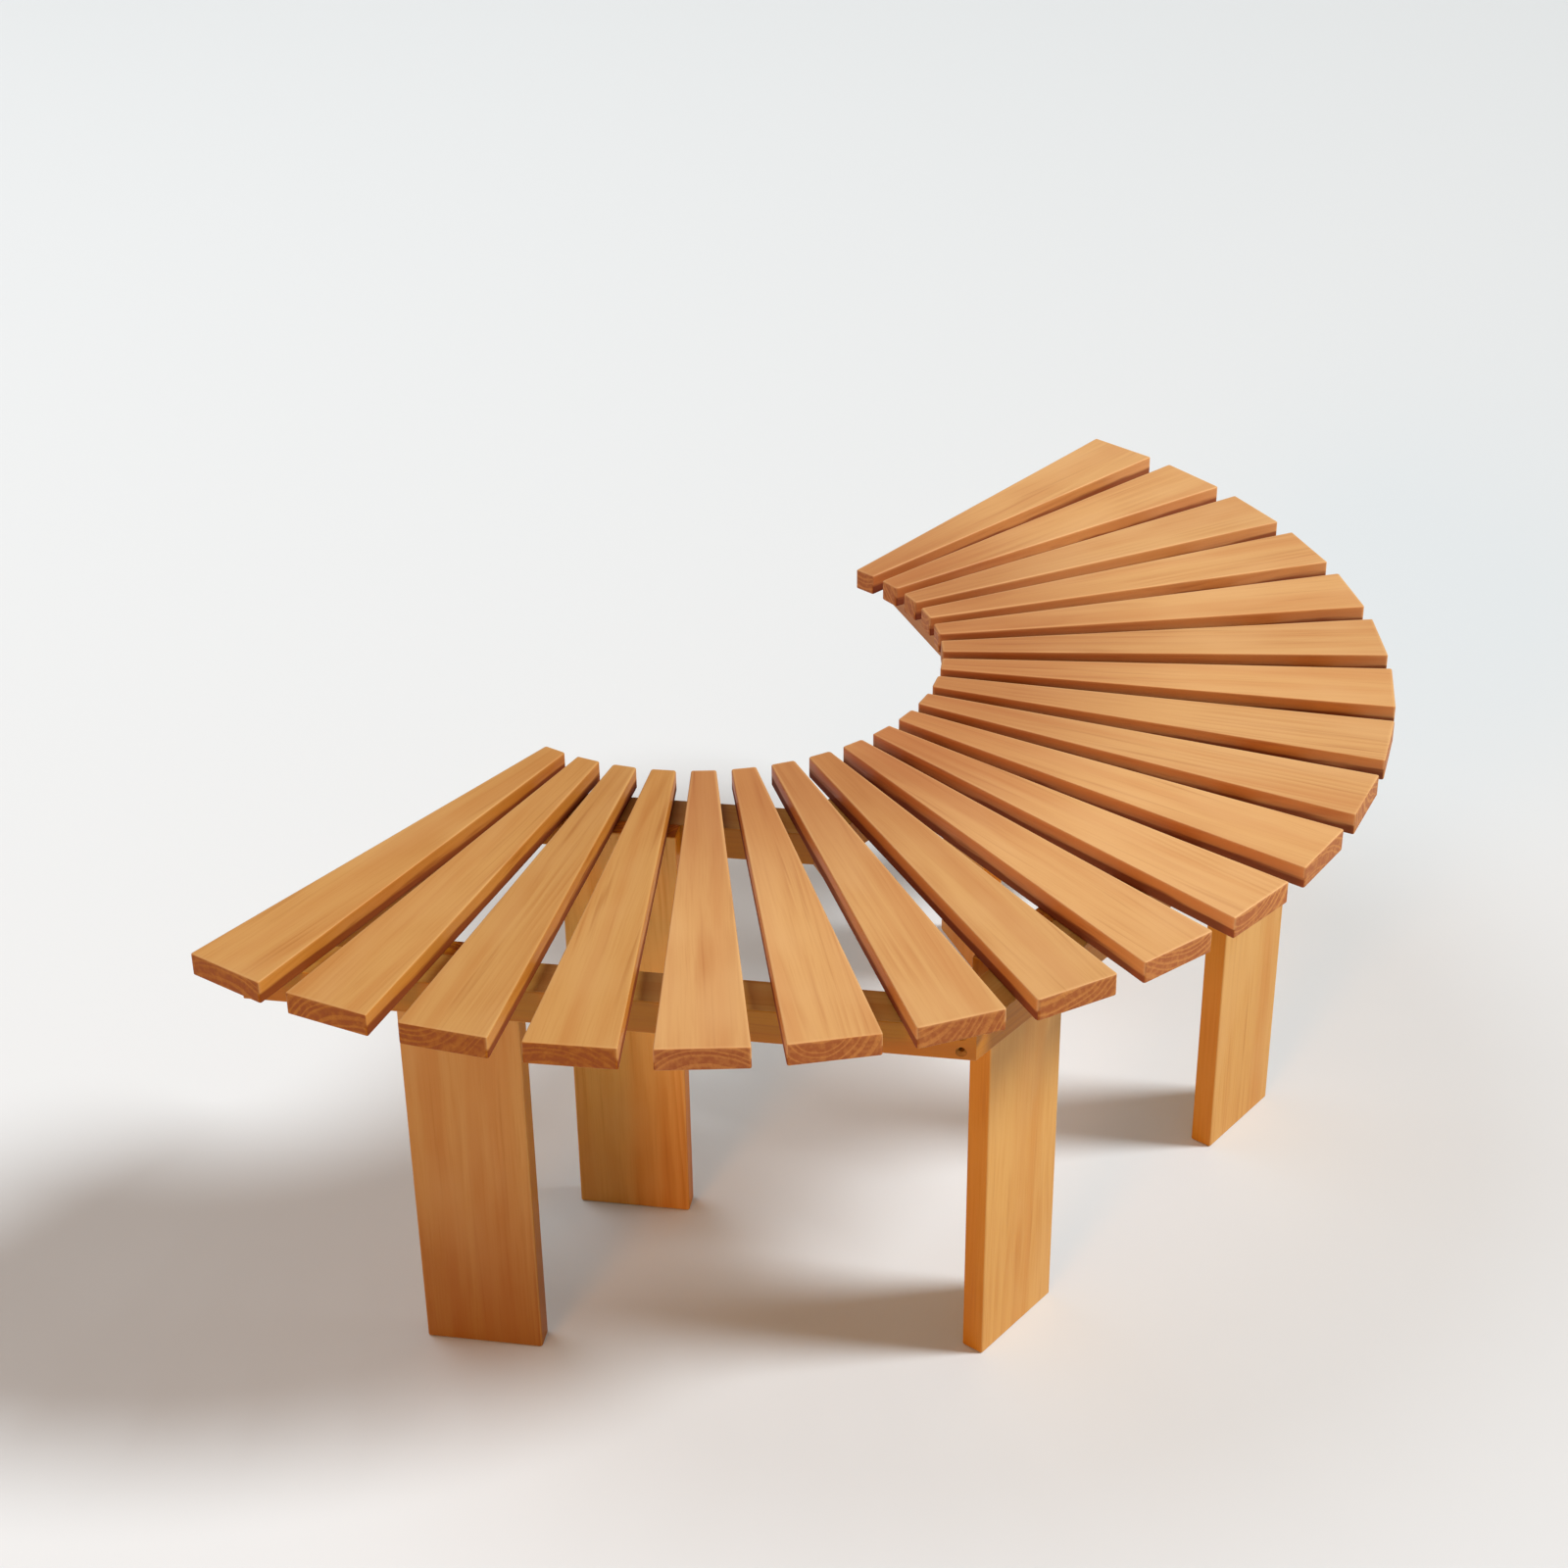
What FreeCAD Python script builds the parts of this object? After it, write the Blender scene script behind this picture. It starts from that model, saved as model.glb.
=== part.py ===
import FreeCAD, Part
import math
import os

# A half-round tree bench in oiled softwood, in millimetres, with +Z up and its rounded front towards -Y.
# It is drawn about the middle of the trunk it goes round, and at the end it is moved so that the
# origin lies on the ground below the middle of its bounding box.

# Seat of tapered slats
seat_height = 440.0
outer_radius = 660.0
inner_radius = 231.0
sweep_deg = 180.0
slat_count = 20
slat_thickness = 21.0
slat_outer_width = 77.0
slat_inner_width = 23.0
slat_edge_round = 1.5

# Frame of straight bays: the outer rail's corners lie just inside the slats' outer ends, and the
# inner rail lies just behind their inner ends
bay_names = ("left", "front", "right")
outer_corner_inset = 10.0
inner_rail_setback = 17.0
rail_width = 42.0
rail_height = 32.0
bearer_width = 28.0
frame_edge_round = 1.5

# Board legs, each set in from the nearer end of its rail's outer face
leg_width = 106.0
leg_thickness = 22.0
leg_edge_round = 2.0
side_leg_end_gap = 116.0
front_leg_end_gap = 81.0
inner_leg_end_gap = 80.0

# Fixings
screw_diameter = 4.5
screw_head_diameter = 9.0
screw_head_height = 3.2
screw_point_length = 6.0
screw_head_sink = 0.5
screw_cover = 8.0
screw_spacing = 1.5
slat_screw_inset = 12.0
leg_screw_inset = 26.0
corner_screw_inset = 12.0
dowel_diameter = 8.0
dowel_length = 40.0
fixing_clearance = 0.1
bore_mouth = 1.0

# An edge is rounded by at most this share of the board's thickness
largest_round_share = 0.4
parallel_tolerance = 1e-6

# Levels, angles and faces that follow from the sizes above; a rail's distance is from the middle
# of the trunk to its outer face
frame_top = seat_height - slat_thickness
rail_underside = frame_top - rail_height
rail_middle = frame_top - rail_height / 2
start_deg = 270.0 - sweep_deg / 2
slat_pitch_deg = sweep_deg / slat_count
bay_deg = sweep_deg / len(bay_names)
outer_rail_distance = (outer_radius - outer_corner_inset) * math.cos(math.radians(bay_deg / 2))
outer_rail_back = outer_rail_distance - rail_width
inner_rail_back = inner_radius + inner_rail_setback
inner_rail_distance = inner_rail_back + rail_width
screw_rows = (rail_middle - rail_height / 4, rail_middle + rail_height / 4)


def direction(deg):
    """Unit vector in plan at an angle."""
    return FreeCAD.Vector(math.cos(math.radians(deg)), math.sin(math.radians(deg)), 0)


def slat_angle(index):
    """Angle of a slat's middle line, slat 0 being the left-hand one."""
    return start_deg + (index + 0.5) * slat_pitch_deg


def bay_angle(bay):
    """Angle at which a bay's rails face outwards."""
    return start_deg + (bay + 0.5) * bay_deg


def plan_point(distance, bay, line_deg, offset=0.0):
    """Where a line beside the ray at line_deg meets a bay's face at the given distance."""
    turn = math.radians(line_deg - bay_angle(bay))
    along = (distance + offset * math.sin(turn)) / math.cos(turn)
    return direction(line_deg) * along + direction(line_deg + 90) * offset


def bay_point(distance, bay, offset):
    """Point on a bay's face, measured sideways from the middle of the bay."""
    return direction(bay_angle(bay)) * distance + direction(bay_angle(bay) + 90) * offset


def at_height(point, height):
    """A plan point lifted to a height."""
    return FreeCAD.Vector(point.x, point.y, height)


def board(points, bottom, top):
    """Upright prism on a plan outline."""
    outline = [at_height(point, bottom) for point in points]
    face = Part.Face(Part.makePolygon(outline + outline[:1]))
    return face.extrude(FreeCAD.Vector(0, 0, top - bottom))


def runs_along(edge, along):
    """Whether a straight edge is parallel to a direction."""
    return edge.tangentAt(edge.FirstParameter).cross(along).Length < parallel_tolerance


def rounded(solid, radius, wall, along=None):
    """Round all edges, or only those that run along one direction, by no more than the wall allows."""
    edges = solid.Edges
    if along is not None:
        edges = [edge for edge in edges if runs_along(edge, along)]
    return solid.makeFillet(min(radius, largest_round_share * wall), edges)


def slat(index):
    """Tapered seat board on its own ray, square cut at both ends."""
    ray = direction(slat_angle(index))
    side = direction(slat_angle(index) + 90)
    corners = [
        ray * inner_radius - side * (slat_inner_width / 2),
        ray * outer_radius - side * (slat_outer_width / 2),
        ray * outer_radius + side * (slat_outer_width / 2),
        ray * inner_radius + side * (slat_inner_width / 2),
    ]
    solid = board(corners, frame_top, seat_height)
    return rounded(solid, slat_edge_round, min(slat_thickness, slat_inner_width))


def rail_end(bay, side):
    """Line that cuts a rail's end: a mitre at a corner, or just past the last slat's middle line."""
    if side < 0 and bay == 0:
        return slat_angle(0), -bearer_width / 2
    if side > 0 and bay == len(bay_names) - 1:
        return slat_angle(slat_count - 1), bearer_width / 2
    return bay_angle(bay) + side * bay_deg / 2, 0.0


def rail_reach(bay, side, distance):
    """How far one end of a rail's outer face lies from the middle of its bay."""
    end = plan_point(distance, bay, *rail_end(bay, side))
    return side * end.dot(direction(bay_angle(bay) + 90))


def rail(bay, distance):
    """Straight rail of one bay."""
    first = rail_end(bay, -1)
    last = rail_end(bay, 1)
    back = distance - rail_width
    corners = [
        plan_point(back, bay, *first),
        plan_point(distance, bay, *first),
        plan_point(distance, bay, *last),
        plan_point(back, bay, *last),
    ]
    solid = board(corners, rail_underside, frame_top)
    return rounded(solid, frame_edge_round, min(rail_width, rail_height), direction(bay_angle(bay) + 90))


def bearer(line_deg, low_bay, high_bay):
    """Cross piece along a ray, from the inner rail's face to the outer rail's back.

    Between two bays its ends are cut to both, so it points into the outer corner and
    straddles the inner one. Within one bay low_bay and high_bay are the same.
    """
    half = bearer_width / 2
    cuts = [(low_bay, -half), (high_bay, half)]
    if low_bay != high_bay:
        cuts.insert(1, (low_bay, 0.0))
    inner_end = [plan_point(inner_rail_distance, bay, line_deg, offset) for bay, offset in cuts]
    outer_end = [plan_point(outer_rail_back, bay, line_deg, offset) for bay, offset in reversed(cuts)]
    solid = board(inner_end + outer_end, rail_underside, frame_top)
    return rounded(solid, frame_edge_round, min(bearer_width, rail_height), direction(line_deg))


def leg(bay, near_face, offset):
    """Board leg whose wide face is parallel to its rail, from the ground to the slats."""
    far_face = near_face + leg_thickness
    corners = [
        bay_point(near_face, bay, offset - leg_width / 2),
        bay_point(far_face, bay, offset - leg_width / 2),
        bay_point(far_face, bay, offset + leg_width / 2),
        bay_point(near_face, bay, offset + leg_width / 2),
    ]
    return rounded(board(corners, 0.0, frame_top), leg_edge_round, leg_thickness)


def turned(profile, position, heading):
    """Solid of revolution from a half profile along -Z, set at a point and pointed along a heading."""
    points = [FreeCAD.Vector(radius, 0, level) for radius, level in profile]
    face = Part.Face(Part.makePolygon(points + points[:1]))
    solid = face.revolve(FreeCAD.Vector(0, 0, 0), FreeCAD.Vector(0, 0, 1), 360)
    turn = FreeCAD.Rotation(FreeCAD.Vector(0, 0, -1), heading)
    solid.Placement = FreeCAD.Placement(position, turn)
    return solid


def screw(surface_point, heading, length):
    """Countersunk screw just below a surface, and the bore that takes it."""
    head = screw_head_diameter / 2
    shank = screw_diameter / 2
    gap = fixing_clearance
    position = surface_point + heading * screw_head_sink
    body = [(0, 0), (head, 0), (shank, -screw_head_height), (shank, screw_point_length - length), (0, -length)]
    hole = [
        (0, bore_mouth),
        (head + gap, bore_mouth),
        (head + gap, 0),
        (shank + gap, -screw_head_height),
        (shank + gap, screw_point_length - length),
        (0, -length - gap),
    ]
    return turned(body, position, heading), turned(hole, position, heading)


def dowel(middle, heading):
    """Plain dowel pin centred on a joint, and the bore that takes it."""
    gap = fixing_clearance
    radius = dowel_diameter / 2
    half = dowel_length / 2
    body = [(0, half), (radius, half), (radius, -half), (0, -half)]
    hole = [(0, half + gap), (radius + gap, half + gap), (radius + gap, -half - gap), (0, -half - gap)]
    return turned(body, middle, heading), turned(hole, middle, heading)


def slat_screws(line_distance):
    """One screw for each slat, driven up through the rail where the slat's middle line crosses it."""
    length = rail_height - screw_head_sink + slat_thickness - screw_cover
    up = FreeCAD.Vector(0, 0, 1)
    pairs = []
    for index in range(slat_count):
        angle = slat_angle(index)
        bay = int((angle - start_deg) / bay_deg)
        point = plan_point(line_distance, bay, angle)
        pairs.append(screw(at_height(point, rail_underside), up, length))
    return pairs


def leg_screws(bay, near_face, offset, outwards):
    """Four screws from the free face of a leg into its rail, short of the slat screws."""
    bite = rail_width - slat_screw_inset - screw_head_diameter / 2 - screw_spacing
    length = leg_thickness + bite - screw_head_sink
    face = near_face if outwards > 0 else near_face + leg_thickness
    heading = direction(bay_angle(bay)) * outwards
    reach = leg_width / 2 - leg_screw_inset
    pairs = []
    for sideways in (offset - reach, offset + reach):
        for height in screw_rows:
            point = at_height(bay_point(face, bay, sideways), height)
            pairs.append(screw(point, heading, length))
    return pairs


def corner_screws(distance):
    """Two screws at each corner, through the side rail's face into the mitred end of the front rail."""
    turn = math.radians(bay_deg)
    sideways = distance * math.tan(turn / 2) - corner_screw_inset
    far_side = (distance - rail_width - sideways * math.sin(turn)) / math.cos(turn)
    length = distance - far_side - screw_cover
    pairs = []
    for bay, side in ((0, 1), (len(bay_names) - 1, -1)):
        heading = direction(bay_angle(bay)) * -1
        for height in screw_rows:
            point = at_height(bay_point(distance, bay, side * sideways), height)
            pairs.append(screw(point, heading, length))
    return pairs


def bearer_dowel(line_deg, bay, face):
    """Dowel along a bearer, half in the bearer and half in the rail whose face it meets."""
    middle = at_height(plan_point(face, bay, line_deg), rail_middle)
    return dowel(middle, direction(line_deg))


def build():
    """All pieces about the trunk's middle: timber bored for its fixings, and the fixings themselves."""
    left, front, right = range(len(bay_names))
    timber = {"slat_%02d" % (index + 1): slat(index) for index in range(slat_count)}
    for bay, name in enumerate(bay_names):
        timber["outer_rail_" + name] = rail(bay, outer_rail_distance)
        timber["inner_rail_" + name] = rail(bay, inner_rail_distance)

    fixings = {
        "outer_slat_screws": slat_screws(outer_rail_distance - slat_screw_inset),
        "inner_slat_screws": slat_screws(inner_rail_back + slat_screw_inset),
        "outer_corner_screws": corner_screws(outer_rail_distance),
        "inner_corner_screws": corner_screws(inner_rail_distance),
        "outer_leg_screws": [],
        "inner_leg_screws": [],
        "outer_dowels": [],
        "inner_dowels": [],
    }

    bearers = {
        "end_bearer_left": (slat_angle(0), left, left),
        "corner_bearer_left": (start_deg + bay_deg, left, front),
        "corner_bearer_right": (start_deg + 2 * bay_deg, front, right),
        "end_bearer_right": (slat_angle(slat_count - 1), right, right),
    }
    for name, (line_deg, low_bay, high_bay) in bearers.items():
        timber[name] = bearer(line_deg, low_bay, high_bay)
        fixings["outer_dowels"].append(bearer_dowel(line_deg, low_bay, outer_rail_back))
        fixings["inner_dowels"].append(bearer_dowel(line_deg, low_bay, inner_rail_distance))

    # Outer legs stand behind the outer rail, inner legs in front of the inner rail
    legs = {
        "outer_leg_left": (left, -1, side_leg_end_gap),
        "outer_leg_front_left": (front, -1, front_leg_end_gap),
        "outer_leg_front_right": (front, 1, front_leg_end_gap),
        "outer_leg_right": (right, 1, side_leg_end_gap),
        "inner_leg_left": (left, -1, inner_leg_end_gap),
        "inner_leg_right": (right, 1, inner_leg_end_gap),
    }
    for name, (bay, side, end_gap) in legs.items():
        outer = name.startswith("outer")
        distance = outer_rail_distance if outer else inner_rail_distance
        near_face = outer_rail_back - leg_thickness if outer else inner_rail_distance
        offset = side * (rail_reach(bay, side, distance) - end_gap - leg_width / 2)
        timber[name] = leg(bay, near_face, offset)
        group = "outer_leg_screws" if outer else "inner_leg_screws"
        fixings[group] += leg_screws(bay, near_face, offset, 1 if outer else -1)

    bores = [bore for pairs in fixings.values() for body, bore in pairs]
    pieces = {}
    for name, solid in timber.items():
        near = [bore for bore in bores if solid.BoundBox.intersect(bore.BoundBox)]
        pieces[name] = solid.cut(near).Solids if near else [solid]
    for name, pairs in fixings.items():
        pieces[name] = [body for body, bore in pairs]
    return pieces


def main():
    """Move the bench onto its origin and write one file for each named piece."""
    pieces = {name: Part.Compound(solids) for name, solids in build().items()}
    box = Part.Compound(list(pieces.values())).optimalBoundingBox(False)
    move = FreeCAD.Vector(-box.Center.x, -box.Center.y, -box.ZMin)
    os.makedirs("parts", exist_ok=True)
    for name, shape in pieces.items():
        shape.translate(move)
        node = shape.Solids[0] if len(shape.Solids) == 1 else shape
        node.exportStep(os.path.join("parts", name + ".step"))
        print("%-24s solids %2d  volume %.1f cm3" % (name, len(shape.Solids), shape.Volume / 1000))
    print("trunk middle at y = %.3f" % move.y)


main()
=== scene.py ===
import math
import random

import bmesh
import bpy
from mathutils import Euler, Matrix, Vector, noise


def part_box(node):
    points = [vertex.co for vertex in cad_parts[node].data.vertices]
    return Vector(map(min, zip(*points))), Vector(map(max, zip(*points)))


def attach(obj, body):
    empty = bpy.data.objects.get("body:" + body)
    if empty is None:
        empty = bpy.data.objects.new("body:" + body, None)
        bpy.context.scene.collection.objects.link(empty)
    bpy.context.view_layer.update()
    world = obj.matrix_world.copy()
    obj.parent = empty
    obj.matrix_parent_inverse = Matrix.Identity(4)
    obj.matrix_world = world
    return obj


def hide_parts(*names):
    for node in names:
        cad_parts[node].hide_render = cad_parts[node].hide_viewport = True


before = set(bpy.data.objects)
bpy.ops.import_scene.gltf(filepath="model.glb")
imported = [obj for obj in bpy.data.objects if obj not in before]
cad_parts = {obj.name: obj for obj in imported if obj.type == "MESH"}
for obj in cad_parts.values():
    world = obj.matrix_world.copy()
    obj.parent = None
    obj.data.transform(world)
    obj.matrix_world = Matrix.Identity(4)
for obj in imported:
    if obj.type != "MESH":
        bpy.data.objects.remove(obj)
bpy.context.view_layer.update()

# A half-round tree bench in oiled softwood, seen as in the photograph: from its left front, from above.
# Lengths are in metres unless a name ends in MM.

MM = 0.001
X = Vector((1, 0, 0))
Y = Vector((0, 1, 0))
Z = Vector((0, 0, 1))

# The bench is set out about the middle of the trunk: slats fan out from it, over three bays of rails
TRUNK = Vector((0, 333.773, 0)) * MM
START_DEG = 180.0
SWEEP_DEG = 180.0
SLAT_COUNT = 20
BAYS = ("left", "front", "right")
SCREW_NODES = (
    "outer_slat_screws",
    "inner_slat_screws",
    "outer_corner_screws",
    "inner_corner_screws",
    "outer_leg_screws",
    "inner_leg_screws",
)
DOWEL_NODES = ("outer_dowels", "inner_dowels")

# Seat boards, sanded by hand after they were sawn. The waves and nicks of each board are read from the
# noise a step further on than those of the board before
SLAT_INNER_WIDTH = 23 * MM
SANDED_CORNER_MM = (1.6, 3.2)
EASED_EDGE = 1.3 * MM
EDGE_STEPS = 3
SUPPORT_RIM = 3.2 * MM
FLAT_ENOUGH = 0.998
STATION_GAP = 22 * MM
CROSS_STATIONS = (-0.1, 0, 0.1)
WAVE_MM = 90.0
WAVE_DEPTH_MM = 0.22
NICK_MM = 14.0
NICK_DEPTH_MM = 1.0
NEXT_BOARD = (3.7, 1.3, 0)
LEAST_RUBBED_AND_HIGHLIT = 0.3

# Countersunk screws with a cross recess. A head starts as a square grid, with its lines at these shares of
# the radius, and the recess takes the cells on the middle lines, short of the rim
HEAD_LINES = (-1.0, -0.62, -0.17, 0.17, 0.62, 1.0)
ON_MIDDLE_LINE = 0.05
RECESS_REACH = 0.7
HEAD_RADIUS = 4.5 * MM
HEAD_RIM = 0.25 * MM
HEAD_CONE = 2.9 * MM
SHANK_RADIUS = 2.25 * MM
POINT_LENGTH = 6.0 * MM
POINT_BLUNTNESS = 0.12
RECESS_DEPTH = 1.9 * MM
RECESS_TAPER = 0.72
SAME_PLACE = 0.01 * MM

# Camera that sees the bench as the photograph does
CAMERA_PLACE = Vector((-1835.9, -1288.7, 1727.2)) * MM
CAMERA_YAW_DEG = 50.298
CAMERA_PITCH_DEG = 30.438
CAMERA_ROLL_DEG = -0.830
SENSOR_MM = 36.0
FOCAL_PX = 2896.4
FRAME_PX = 1600

# The floor is swept up far away, so that it also fills the view from low down. Its matt white paint is a
# little cool, so that it looks neutral in the warm light
FLOOR_SIZE = 60.0
FLOOR_CELLS = 60
FLAT_FLOOR = 12.0
FLOOR_RISE = 0.012
FLOOR_PAINT = "#dbe7f1"
FLOOR_ROUGHNESS = 0.9

# Studio light. The key light is a broad sun, and each soft light is a disk: its name, the way it stands
# from the bench and its height in degrees, its width, its power and its colour
ROOM_COLOUR = "#ffe9d0"
ROOM_STRENGTH = 0.22
KEY_COLOUR = "#fffaf4"
KEY_STRENGTH = 3.2
KEY_BREADTH_DEG = 16
KEY_PLACE_DEG = (308, 42)
SOFT_LIGHTS = (
    ("fill", 192, 22, 2.2, 165, "#ffa656"),
    ("overhead", 100, 60, 5.0, 170, "#fff8f4"),
)
LIGHT_DISTANCE = 8.0

# Growth of the wood. A year runs from 0 to 1: summer wood darkens between two times in it, and winter
# comes between two more
RING_MM = 6.5
SUMMER_DARKENS = (0.15, 0.80)
WINTER_COMES = (0.84, 1.0)
WEATHER_PER_YEAR = 0.4
RING_DRIFT_YEARS = 2.6
RING_FADE_MM = 120.0
LOG_TAPER = 0.010
BEND_LONG_MM = 420.0
BEND_WIDE_MM = 55.0
BEND_DEPTH_MM = 13.0
KNOT_GAP_MM = 850.0
KNOT_MM = 3.0
KNOT_HEART = 0.4
KNOT_SWELL_MM = 26.0
KNOT_SWELL_YEARS = 0.9
PITH_TO_FACE_MM = 60.0

# Where a board was sawn from its log: how far aside and below the pith may lie, how far up the tree, and
# how far askew, in radians up and aside
PITH_ASIDE_MM = 34.0
PITH_BELOW_MM = (28.0, 85.0)
LOG_REACH_MM = 4000.0
SAWN_ASKEW = (0.014, 0.022)

# Marks in the wood, in millimetres along and across the grain
FIBRE_MM = (70.0, 1.9)
STREAK_MM = (210.0, 5.0)
BAND_MM = (800.0, 24.0)
CLOUD_MM = (150.0, 60.0)

# How the marks show on faces and on ends: from which value of their pattern, from which in full, and how
# strongly
RINGS_SHOW = (0.38, 0.72, 0.45)
FIBRES_SHOW = (0.42, 0.78, 0.32)
STREAKS_SHOW = (0.56, 0.80, 0.50)
BANDS_SHOW = (0.42, 0.70, 0.50)
CLOUDS_SHOW = (0.42, 0.72, 0.45)
KNOTS_SHOW = 0.75
END_RINGS_SHOW = (0.55, 0.95, 1.0)
END_FIBRES_SHOW = (0.45, 0.75, 0.40)
END_STREAKS_SHOW = (0.40, 0.70, 0.35)

# A surface starts to count as an end or a side once it looks this nearly along or across its board, and
# counts in full at the second value. It counts as rounded off as it looks less nearly any one way
LOOKS_THAT_WAY = (0.62, 0.80)
ROUNDED_OFF = (0.985, 0.82)

# Rounded edges are paler, partly rubbed by hands and clothes and partly a painted highlight, more in some
# places than in others
WORN_AND_HIGHLIT_CLOUDS = (0.34, 0.66)
WORN_AND_HIGHLIT_SHARES = (0.10, 0.48)

# Oil that has soaked in shines less than a film on the surface would. It leaves the wood satin, and duller
# on ends, in the painted gap shade, on worn edges and on fibres
OIL_GLOSS = 0.32
SATIN = 0.40
END_DULLNESS = 0.18
GAP_SHADE_DULLNESS = 0.40
WORN_DULLNESS = 0.15
FIBRE_DULLNESS = 0.14

# Fibres stand up a little from the planed wood, and summer wood and streaks with them
GRAIN_DEPTH_MM = 0.09
GRAIN_STRENGTH = 0.5
SUMMER_RELIEF = 0.45
STREAK_RELIEF = 0.5

# Colours of the oiled wood
SPRING_WOOD = "#d1a366"
SUMMER_WOOD = "#b97f45"
STREAK_WOOD = "#a56832"
BAND_WOOD = "#c08247"
CLOUD_WOOD = "#d6ab73"
KNOT_WOOD = "#7c4420"
END_DARK = "#9e5618"
END_PALE = "#c88838"
END_DEEP = "#7e3e0a"
# Paler edges, partly worn and partly a painted highlight
WORN_AND_HIGHLIT_WOOD = "#dab176"

# Tints that deepen the colour of a face: the sides, partly for their deeper edge grain and partly as
# painted shade; painted shade by the trunk and at the feet; and painted shade low in the gaps
SIDE_GRAIN_AND_SHADE = "#fce0b6"
PAINTED_END_SHADE = "#ddc5b3"
GAP_SHADE = "#aa8058"

# Yellow zinc on the screws and plain beech in the dowels: the two colours of their mottle, its size and
# detail, their least and most roughness, and how strongly the mottle stands out
ZINC_COLOURS = ("#c9a45c", "#7d6a45")
ZINC_MOTTLE_MM = 1.8
ZINC_DETAIL = 3.0
ZINC_ROUGHNESS = (0.28, 0.55)
ZINC_RELIEF = 0.2
BEECH_COLOURS = ("#d8b48c", "#b98c62")
BEECH_MOTTLE_MM = 1.2
BEECH_DETAIL = 2.0
BEECH_ROUGHNESS = (0.5, 0.7)
BEECH_RELIEF = 0.3
MOTTLE_DEPTH_MM = 0.05

# The seat boards' tones step up in three runs, each paler than the one before, so that painted shade lies
# deepest on the first boards: up to which board a run goes, its tones, how deep a colour the oil gives it,
# and how far shade is painted at its inner ends
SEAT_SHADE_RUNS = (
    (4, (0.80, 0.85), 1.04, 0.3),
    (8, (0.96, 1.01), 0.97, 1.0),
    (SLAT_COUNT, (1.04, 1.10), 0.95, 1.0),
)
TIMBER_SEED = 11

# Rails and bearers: their darker tones are painted shade from the seat
RAIL_TONES = (0.68, 0.76)
RAIL_OIL = 1.12

# The bay that each leg stands in, its tones, and how far shade is painted at its foot. The left outer leg's
# darker tones are painted shade, and the inner legs' much paler tones are painted light under the seat
LEG_OIL = 1.10
LEGS = {
    "outer_leg_left": ("left", (0.80, 0.84), 1.0),
    "outer_leg_front_left": ("front", (0.92, 0.99), 0.15),
    "outer_leg_front_right": ("front", (0.92, 0.99), 0.15),
    "outer_leg_right": ("right", (0.92, 0.99), 0.15),
    "inner_leg_left": ("left", (1.34, 1.41), 0.8),
    "inner_leg_right": ("right", (1.34, 1.41), 0.8),
}

# Shade is painted low on the sides of the seat boards, in the gaps: the heights over a board's middle where
# it starts and where it is full, how far it drifts unevenly, and how far a surface leans over to take it
GAP_SHADE_FROM_MM = 5.5
GAP_SHADE_FULL_MM = 1.0
GAP_SHADE_DRIFT_MM = 9.0
LEANS_OVER = (0.15, 0.40)

# Shade is painted on a seat board by the trunk and on a leg at its foot: the pale wood goes over into the
# painted shade between these lengths, out or up from the board's middle
END_SHADE_FROM_MM = 50.0
END_SHADE_FULL_MM = -190.0


def slat_deg(index):
    """Angle of a slat's middle line, in degrees."""
    return START_DEG + (index + 0.5) * SWEEP_DEG / SLAT_COUNT


def bay_deg(bay):
    """Angle that a bay's rails face."""
    return START_DEG + (BAYS.index(bay) + 0.5) * SWEEP_DEG / len(BAYS)


def ahead(deg):
    """Level direction at an angle."""
    return Vector((math.cos(math.radians(deg)), math.sin(math.radians(deg)), 0))


def lengthwise(deg):
    """Turn that lays X level at an angle, with Z up."""
    return Matrix.Rotation(math.radians(deg), 3, "Z")


def upright(deg):
    """Turn that stands X up, with Z level at an angle."""
    return Matrix.Rotation(math.radians(deg), 3, "Z") @ Matrix.Rotation(math.radians(-90), 3, "Y")


def middle_of(node):
    """Middle of a CAD node's box."""
    low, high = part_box(node)
    return (low + high) / 2


def reach(node, direction):
    """How far a CAD node reaches along a direction, from the trunk's middle: its least and its most."""
    places = [(vertex.co - TRUNK).dot(direction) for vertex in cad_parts[node].data.vertices]
    return min(places), max(places)


def linear(hex_colour):
    """Linear colour of an sRGB hex value."""
    parts = [int(hex_colour[i:i + 2], 16) / 255 for i in (1, 3, 5)]
    return [p / 12.92 if p <= 0.04045 else ((p + 0.055) / 1.055) ** 2.4 for p in parts] + [1.0]


def add(tree, kind, inputs=(), **options):
    """Add a node with its options. An input is given a value, or the output that feeds it.

    Sockets go by name, or by number where a node has several of one name. Map Range takes its value, where
    that starts and ends, and the least and most that it gives, as 0 to 4. A colour mix takes its share as 0
    and its colours as 6 and 7.
    """
    made = tree.nodes.new(kind)
    for option, value in options.items():
        setattr(made, option, value)
    for socket, given in dict(inputs).items():
        if isinstance(given, bpy.types.NodeSocket):
            tree.links.new(given, made.inputs[socket])
        else:
            made.inputs[socket].default_value = given
    return made.outputs


def per_metre(size_mm):
    """Scale of a pattern whose marks are this long along the grain and this wide across it."""
    long_mm, wide_mm = size_mm
    return (1 / (long_mm * MM), 1 / (wide_mm * MM), 1 / (wide_mm * MM))


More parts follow.
